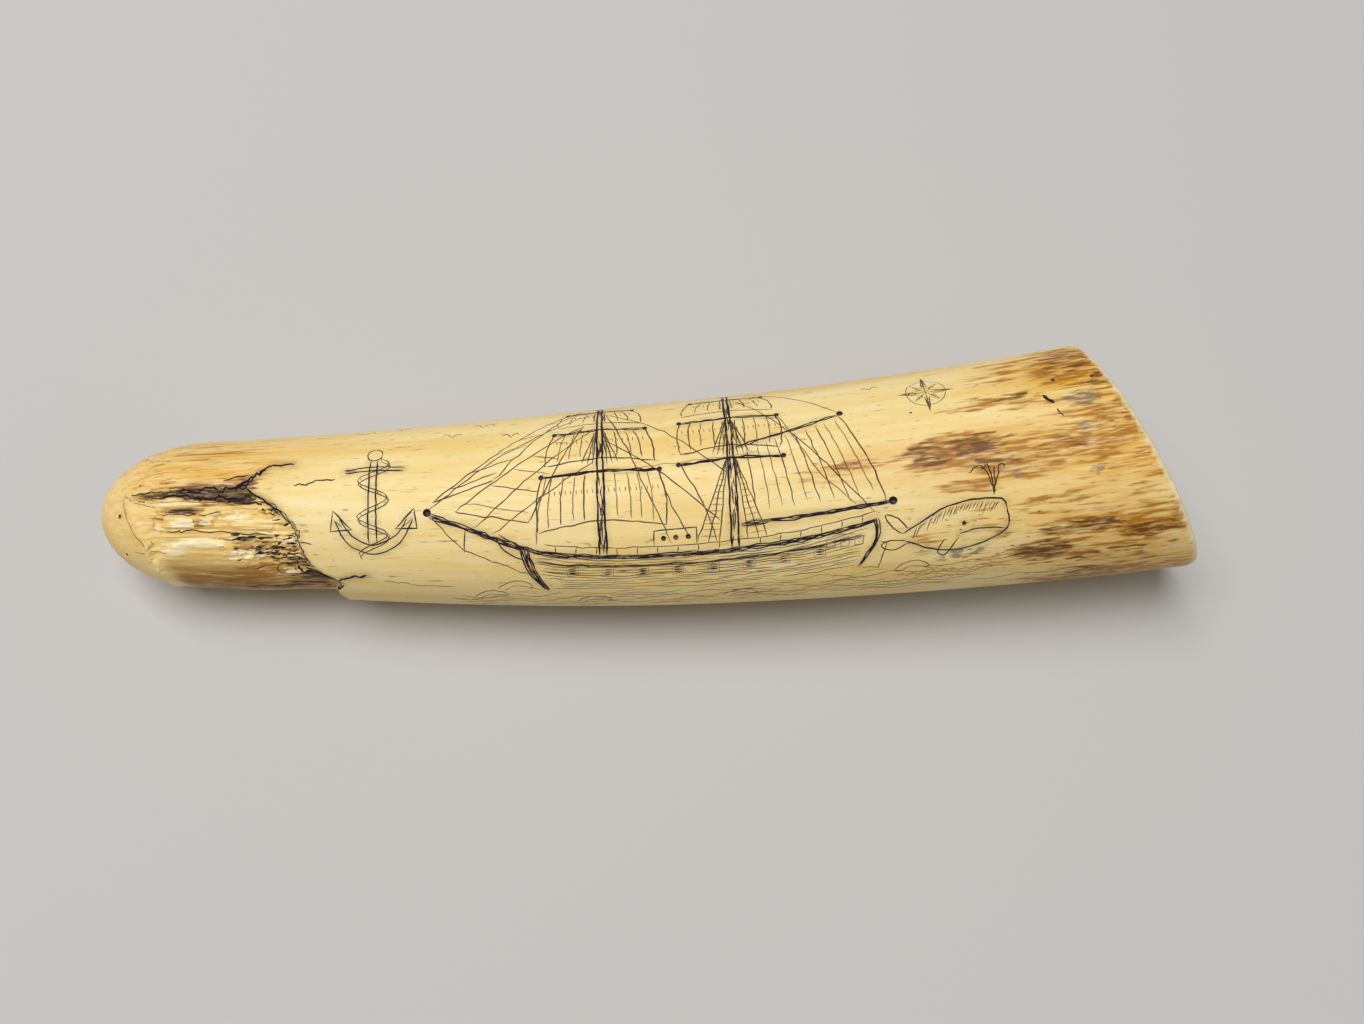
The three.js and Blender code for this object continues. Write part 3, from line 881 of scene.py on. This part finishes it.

# %% [markdown]
# ## What the colour needs to know
# Ink stays only in the cut faces. The Boolean keeps the wire's material on each face that it cuts, so the ink's
# darkness is read from there and stored on the faces. Stains, the bare grain, a painted highlight along the rim and
# the sawn face depend on the place, so they are stored on the vertices. One material then reads them all.

# %% Store ink and stains
INK_STRENGTHS = [1, 0.88, 0.66, 0.4, 0]
MASKS = {
    "tint": [
        (238, -17, 22, 15, 1), (248, 4, 26, 16, 0.95), (216, 4, 22, 8, 0.8), (240, 27, 26, 10, 0.7),
        (26, -9, 24, 11, 0.8), (8, 4, 10, 18, 0.4), (250, 44, 26, 16, 0.8), (140, 48, 60, 10, 0.35),
        (235, -44, 36, 14, 0.75), (120, -46, 70, 10, 0.4), (190, 3, 18, 5, 0.5), (50, -16, 20, 6, 0.4),
        (150, -27, 70, 5, 0.4),
    ],
    "fibre": [
        (233, -20, 12, 10, 0.76), (247, -14, 12, 13, 0.62), (203, 2.2, 12, 5, 0.94), (218, 5.4, 16, 5.6, 0.74),
        (238, 3, 20, 8, 0.58), (252, 5, 12, 12, 0.58), (206, 10.8, 8, 1.6, 0.74), (214, -9, 14, 3.2, 0.5),
        (240, 25, 22, 7, 0.6), (226, 29, 12, 4, 0.66), (180, 2.6, 14, 1.4, 0.56), (172, 5.2, 12, 1.2, 0.44),
        (254, 24, 6, 6, 0.7), (222, -20, 16, 6, 0.48), (206, 22, 14, 6, 0.3), (39.6, -3.6, 5, 1.3, 0.84),
        (22, -2.2, 14, 1.4, 0.5), (240, 42, 24, 10, 0.58), (236, -42, 26, 9, 0.52), (30, 40, 20, 10, 0.3),
        (180, -47, 30, 8, 0.38), (24, -13, 20, 6, 0.3), (232, 16.5, 22, 4, 0.42), (240, -4, 14, 7, 0.5),
    ],
    "umber": [
        (198, 2, 6, 3.4, 0.66), (209, 1.2, 9, 2.8, 0.7), (212, 5.6, 8, 1.6, 0.56), (222, 28.2, 9, 3.2, 0.74),
        (231, 23.4, 11, 1.8, 0.74), (247, 26.5, 8, 2.6, 0.6), (256, 20, 3.6, 5, 0.66), (234, -20, 8, 7, 0.46),
        (228, 3.8, 7, 2, 0.5), (220, -10, 8, 1.6, 0.46), (53.8, 8.5, 1.6, 1.8, 0.4), (64.3, -4.3, 1.6, 1.2, 0.4),
        (240, -13, 9, 4, 0.42), (244, -1, 9, 4, 0.36), (234, 40, 12, 4, 0.5), (228, -46, 12, 4, 0.45),
        (178, 2.6, 14, 1, 0.4), (237, 32, 18, 2.2, 0.5), (32, -1.3, 12, 0.9, 0.95), (40, -2.4, 3, 1.4, 0.7),
    ],
    "grey": [
        (233, -7, 4.6, 2.2, 0.66), (233.6, 0.4, 3.4, 1.8, 0.56), (216.4, 9.2, 2.8, 1.1, 0.66),
        (234, 11.2, 2.6, 1.7, 0.66), (206, 27, 8, 3, 0.4),
    ],
    "dark_grain_and_shade": [
        # At u 25, v 4.4: dark grain, and painted shade in the sunk band above the raised blocks.
        (18, -0.1, 8, 1.2, 0.7), (31, -0.2, 11, 1.5, 0.92), (38.6, 0.9, 4.6, 2, 0.92), (25, 4.4, 5, 0.9, 0.56),
        (29, 7.5, 1.2, 0.9, 0.4), (46, 4.6, 4, 1.6, 0.5), (46, 14.8, 9, 1.4, 0.5), (51, 18.4, 4, 2, 0.5),
        (42, 11.8, 7, 0.9, 0.46), (56, 22.8, 6, 2.4, 0.86), (50, 27, 14, 2, 0.6),
    ],
    "brown_grain_and_shade": [
        # At u 25, v 4.4: brown grain, and painted shade in the sunk band above the raised blocks.
        (25, 4.4, 6, 1.3, 0.6), (34, 1.8, 11, 1.6, 0.6), (46, 8.6, 6, 2.4, 0.3), (40, 20.6, 14, 2.6, 0.5),
        (50, 19.5, 7, 3.4, 0.5), (29, 7.5, 1.8, 1.4, 0.8), (16, 1, 6, 1.2, 0.5), (42, 13.6, 9, 2.4, 0.4),
        (36, 4.6, 8, 2, 0.3), (19, 6.6, 1.6, 3, 0.4),
    ],
    "low_grain": [(32, 25, 22, 7, 0.95), (24, 18.6, 10, 2.6, 0.55), (42, 20.4, 12, 3, 0.55), (50, 27, 14, 6, 0.9)],
    "white_grain": [
        (40, 15.6, 6, 1.4, 0.66), (27, 12.6, 8, 1.5, 0.72), (38.4, 5.6, 3, 1.4, 0.6), (24.6, 7.4, 3.6, 1.5, 0.8),
        (30.6, 6.8, 2.2, 1.5, 0.6), (18.8, 8.7, 1, 1.3, 0.7), (50, 12.4, 4, 1.8, 0.4), (50, 21.4, 2.4, 0.8, 0.7),
        (33, 2.5, 3, 0.6, 0.5), (24, 2.5, 7, 0.7, 0.55), (22, 14.6, 3, 1, 0.6),
    ],
}
HALO_MM = 1.6
HALO_FROM_LENGTH_MM = 4
RIM_HIGHLIGHT_MM, SAW_EDGE_MM = 1.8, 0.75
HALF_WIDE_MM, HALF_HIGH_MM = 25, 20


def store(piece, name, values, domain="POINT", kind="FLOAT"):
    """Writes one value for each vertex or face as an attribute of the piece."""
    layer = piece.data.attributes.new(name, kind, domain)
    layer.data.foreach_set("vector" if kind == "FLOAT_VECTOR" else "value", np.asarray(values, float).ravel())


def stain(u, v, place):
    """Like a spot, but with a flat middle and a quicker fall."""
    u0, v0, long, wide, strength = place
    return strength * np.exp(-((((u - u0) / long) ** 2 + ((v - v0) / wide) ** 2) ** 2))


where = points_of(tusk)
u, v = paper_place(where)
wide, high = half_sizes(where[:, 0], round_end=False)
across = (where[:, 1] - middle_y(where[:, 0])) / wide
up = (where[:, 2] - middle_z(where[:, 0])) / high
store(tusk, "along_grain", np.column_stack([u, HALF_WIDE_MM * across, HALF_HIGH_MM * up]), kind="FLOAT_VECTOR")
store(tusk, "from_core", np.hypot(across, up))
for name, places in MASKS.items():
    store(tusk, name, np.max([stain(u, v, place) for place in places], axis=0))
halo = np.zeros(len(u))
for order, (points, _, ink, _) in enumerate(picture):
    if ink != HEAVY or math.dist(points[0], points[-1]) < HALO_FROM_LENGTH_MM:
        continue
    bleed = 1.0 if order >= CRACKS_FROM else 0.5
    (u_low, v_low), (u_high, v_high) = np.min(points, axis=0) - HALO_MM, np.max(points, axis=0) + HALO_MM
    close = np.flatnonzero((u > u_low) & (u < u_high) & (v > v_low) & (v < v_high))
    away = np.clip(distance_to_line(u[close], v[close], points) / HALO_MM, 0, 1)
    halo[close] = np.maximum(halo[close], bleed * (1 - away))
store(tusk, "halo", halo)
# The cap's worn edge runs aslant, so the bare colour fades in behind a slanting line.
store(tusk, "bare", ramp(bare_depth(u, v), -0.2, 0.4) * ramp(u - 12 - 0.32 * v, -1, 4))
# Painted highlight: a cream band along the worn rim of the saw cut, where its bevel would catch the light.
store(tusk, "rim_highlight", ramp(RIM_HIGHLIGHT_MM - from_saw(where), 0, 0.8))
store(tusk, "saw_cut", ramp(SAW_EDGE_MM - from_saw(where), 0, 0.5))

slots = np.empty(len(tusk.data.polygons), int)
tusk.data.polygons.foreach_get("material_index", slots)
store(tusk, "ink", np.array(INK_STRENGTHS)[slots], domain="FACE")
tusk.data.polygons.foreach_set("material_index", np.zeros(len(slots), int))
tusk.data.materials.clear()
print("inked faces:", int((slots < UNCUT).sum()))

# %% [markdown]
# ## The ivory
# Old ivory is pale and yellow in long streaks, darker where it was stained, and slightly see-through. Its colour
# is built in layers, like glazes, with the ink on top. A stain isn't a soft cloud but shows fibre by fibre, so its
# mask is added to a streaky noise and the sum is cut off at a level: dense in the middle, single fibres at the edge.

# %% Helpers for the material
ivory = bpy.data.materials.new("walrus_ivory")
ivory.use_nodes = True
nodes, links = ivory.node_tree.nodes, ivory.node_tree.links
shader = nodes["Principled BSDF"]
FIBRE_LEVEL, MASK_WEIGHT = 0.74, 0.5


def colour(red, green, blue):
    """A colour given in the 0 to 255 of a screen, as the linear values a shader takes."""
    shares = [c / 255 for c in (red, green, blue)]
    return (*(s / 12.92 if s <= 0.04045 else ((s + 0.055) / 1.055) ** 2.4 for s in shares), 1)


def mask(name):
    """Reads a stored value of the piece."""
    node = nodes.new("ShaderNodeAttribute")
    node.attribute_name = name
    return node.outputs["Vector" if name == "along_grain" else "Fac"]


def put(value, socket):
    """Sets a constant on a socket, or links an output to it."""
    if isinstance(value, (int, float, tuple)):
        socket.default_value = value
    else:
        links.new(value, socket)


def streaks(along, across, detail, shift, upward=None):
    """Noise round 0.5, drawn out along the tusk: its sizes are in millimetres."""
    mapping = nodes.new("ShaderNodeMapping")
    mapping.inputs["Location"].default_value = (shift, shift, shift)
    mapping.inputs["Scale"].default_value = (1 / along, 1 / across, 1 / (upward or across))
    links.new(mask("along_grain"), mapping.inputs["Vector"])
    texture = nodes.new("ShaderNodeTexNoise")
    texture.inputs["Scale"].default_value = 1.0
    texture.inputs["Detail"].default_value = detail
    links.new(mapping.outputs["Vector"], texture.inputs["Vector"])
    return texture.outputs["Fac"]


def level(value, low, high, lowest=0, highest=1):
    """Spreads a range of values over another, and stops at its ends."""
    node = nodes.new("ShaderNodeMapRange")
    for name, number in (("From Min", low), ("From Max", high), ("To Min", lowest), ("To Max", highest)):
        node.inputs[name].default_value = number
    put(value, node.inputs["Value"])
    return node.outputs["Result"]


def reckon(operation, *values):
    """One step of arithmetic on numbers or outputs."""
    node = nodes.new("ShaderNodeMath")
    node.operation = operation
    for value, socket in zip(values, node.inputs):
        put(value, socket)
    return node.outputs["Value"]


def patchy(name, streak, low, high, lowest, highest):
    """A mask, thinned by streaks of this size between two levels."""
    return reckon("MULTIPLY", mask(name), level(streaks(*streak), low, high, lowest, highest))


def fibres(name, along, across, shift, most, soft, least=0.4):
    """How much of a stain shows, fibre by fibre, for its mask."""
    total = reckon("MULTIPLY_ADD", mask(name), MASK_WEIGHT, streaks(along, across, 2, shift))
    shown = level(total, FIBRE_LEVEL - soft, FIBRE_LEVEL + soft, 0, most)
    return reckon("MULTIPLY", shown, level(streaks(4, 0.6, 2, shift + 2), 0.36, 0.5, least, 1))


def glaze(under, over, amount):
    """Lays one colour over another by an amount from 0 to 1."""
    node = nodes.new("ShaderNodeMix")
    node.data_type = "RGBA"
    put(amount, node.inputs[0])
    put(under, node.inputs[6])
    put(over, node.inputs[7])
    return node.outputs[2]


print("material started:", ivory.name)

# %% [markdown]
# ## Skin and grain
# The polished skin and the bare grain are two stacks of glazes, pale ones first, and a mask chooses between them.
# In layers, each stain keeps its colour and its fibres in one line that is easy to change.

# %% Build the ivory
PALE, WARM, CREAM = colour(245, 221, 155), colour(238, 203, 122), colour(250, 235, 190)
skin = glaze(PALE, WARM, level(streaks(40, 5, 3, 0), 0.36, 0.68, 0, 0.9))
skin = glaze(skin, CREAM, level(streaks(26, 2.4, 3, 4), 0.5, 0.75, 0, 0.5))
skin = glaze(skin, colour(222, 158, 20), patchy("tint", (14, 1.6, 3, 9), 0.32, 0.62, 0.2, 0.9))
skin = glaze(skin, colour(170, 108, 4), fibres("fibre", 8, 0.9, 13, 0.88, 0.08))
skin = glaze(skin, colour(102, 56, 10), fibres("umber", 4.5, 0.75, 17, 0.9, 0.07))
skin = glaze(skin, colour(122, 110, 92), fibres("grey", 3, 1.1, 21, 0.8, 0.07))
skin = glaze(skin, colour(244, 222, 160), patchy("tint", (7, 0.75, 2, 71), 0.56, 0.68, 0, 0.65))
skin = glaze(skin, colour(104, 78, 70), patchy("halo", (5, 1.5, 2, 23), 0.35, 0.7, 0.15, 0.8))
grain = glaze(colour(246, 219, 148), colour(230, 188, 102), level(streaks(20, 1.4, 3, 25), 0.36, 0.66))
grain = glaze(grain, colour(142, 92, 4), patchy("low_grain", (9, 1.6, 2, 73), 0.3, 0.6, 0.55, 1))
# Brown grain, with painted shade in the sunk band above the raised blocks.
grain = glaze(grain, colour(160, 104, 26), fibres("brown_grain_and_shade", 9, 0.9, 29, 0.9, 0.08))
grain = glaze(grain, colour(249, 236, 198), fibres("white_grain", 5, 1.2, 33, 0.9, 0.1))
# Dark grain, with painted shade in the sunk band above the raised blocks.
grain = glaze(grain, colour(70, 50, 40), fibres("dark_grain_and_shade", 4, 0.9, 37, 0.97, 0.06, 0.85))
skin = glaze(skin, grain, mask("bare"))
# Painted highlight: cream laid over the rim of the saw cut.
skin = glaze(skin, CREAM, reckon("MULTIPLY", mask("rim_highlight"), 0.85))
print("skin and grain laid, nodes:", len(nodes))

# %% [markdown]
# ## The face of the saw cut
# The camera doesn't see the sawn root, so it is finished as such a cut usually looks: a thin rind, smooth ivory
# inside it, a mottled core, and fine lines where the saw's teeth ran. The distance from the middle of the oval
# tells these apart, and the one from the sawn face ends them, so both were stored on the vertices.

# %% Build the saw cut and the ink
RIND, CORE = 0.87, 0.48
smooth = glaze(colour(246, 226, 176), colour(234, 204, 142), level(streaks(6, 5, 3, 53), 0.36, 0.66))
mottled = glaze(colour(224, 190, 128), colour(246, 228, 184), level(streaks(1.8, 1.8, 2, 57), 0.38, 0.62))
core = level(reckon("MULTIPLY_ADD", streaks(5, 5, 3, 61), 0.3, mask("from_core")), CORE + 0.12, CORE + 0.2, 1, 0)
cut = glaze(smooth, mottled, core)
wavering = reckon("MULTIPLY_ADD", streaks(9, 9, 1, 75), 0.06, mask("from_core"))
line = level(reckon("ABSOLUTE", reckon("SUBTRACT", wavering, RIND + 0.03)), 0, 0.02, 0.5, 0)
cut = glaze(cut, colour(170, 128, 70), line)
saw_lines = streaks(30, 0.5, 2, 65, 30)
cut = glaze(cut, colour(176, 132, 76), level(saw_lines, 0.5, 0.75, 0, 0.4))
skin = glaze(skin, cut, mask("saw_cut"))
skin = glaze(skin, colour(50, 36, 48), patchy("ink", (3, 1.2, 2, 41), 0.24, 0.4, 0.55, 1))
links.new(skin, shader.inputs["Base Color"])
links.new(level(streaks(18, 2.5, 3, 45), 0.3, 0.7, 0.32, 0.5), shader.inputs["Roughness"])
shader.inputs["Specular IOR Level"].default_value = 0.3
shader.inputs["Subsurface Weight"].default_value = 0.12
shader.inputs["Subsurface Radius"].default_value = (1, 0.7, 0.35)
shader.inputs["Subsurface Scale"].default_value = 0.002

bump = nodes.new("ShaderNodeBump")
bump.inputs["Strength"].default_value = 0.25
bump.inputs["Distance"].default_value = 0.00015
links.new(glaze(streaks(8, 0.6, 5, 49), saw_lines, mask("saw_cut")), bump.inputs["Height"])
links.new(bump.outputs["Normal"], shader.inputs["Normal"])
tusk.data.materials.append(ivory)
print("material nodes:", len(nodes))

# %% [markdown]
# ## The finished piece
# Polished ivory is smooth, and the grooves and the broken edge are crisp, so the shading is smooth up to an angle
# and sharp beyond it. The wires are no longer needed. The piece is told which body it rides on, and the solid that it
# takes the place of is hidden.

# %% Finish the piece
SHARP_FROM = math.radians(28)
only(tusk)
bpy.ops.object.shade_smooth_by_angle(angle=SHARP_FROM)
for name in [piece.name for piece in CUTTERS.objects]:
    bpy.data.objects.remove(bpy.data.objects[name])
bpy.data.collections.remove(CUTTERS)
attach(tusk, "root")
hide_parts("tusk")
print("tusk box", [round(c / MM, 2) for c in tusk.dimensions])

# %% [markdown]
# ## Floor and light
# A plain pale floor shows the form and draws no attention. One large lamp hangs high above the far side: it gives
# polished ivory long, soft highlights and leaves the near lower side in soft shade. A weak one at the near right
# opens that shade. Both are far off and large, so that the floor is lit evenly.

# %% Lay the floor and light the scene
FLOOR_SIZE, FLOOR_COLOUR = 12, (0.56, 0.55, 0.53, 1)
LAMPS = [((-0.4, 0.26, 1.8), 34), ((1.3, -1, 1.5), 2.4)]
LAMP_AIM, LAMP_SIZE = Vector((0, 0, 0.02)), 1.4
SKY_COLOUR, SKY_STRENGTH = (1, 0.98, 0.95, 1), 0.17

bpy.ops.mesh.primitive_plane_add(size=FLOOR_SIZE)
floor = bpy.context.object
floor.name = "floor"
paint = bpy.data.materials.new("floor_paint")
paint.use_nodes = True
floor_shader = paint.node_tree.nodes["Principled BSDF"]
floor_shader.inputs["Base Color"].default_value = FLOOR_COLOUR
floor_shader.inputs["Roughness"].default_value = 0.9
floor.data.materials.append(paint)
for place, power in LAMPS:
    bpy.ops.object.light_add(type="AREA", location=place)
    lamp = bpy.context.object
    lamp.rotation_mode = "QUATERNION"
    lamp.rotation_quaternion = (LAMP_AIM - Vector(place)).to_track_quat("-Z", "Y")
    lamp.data.size = LAMP_SIZE
    lamp.data.energy = power
world = bpy.data.worlds.new("studio")
world.use_nodes = True
sky = world.node_tree.nodes["Background"]
sky.inputs["Color"].default_value = SKY_COLOUR
sky.inputs["Strength"].default_value = SKY_STRENGTH
bpy.context.scene.world = world
bpy.context.scene.view_settings.view_transform = "Standard"
print("lamps:", len(LAMPS))
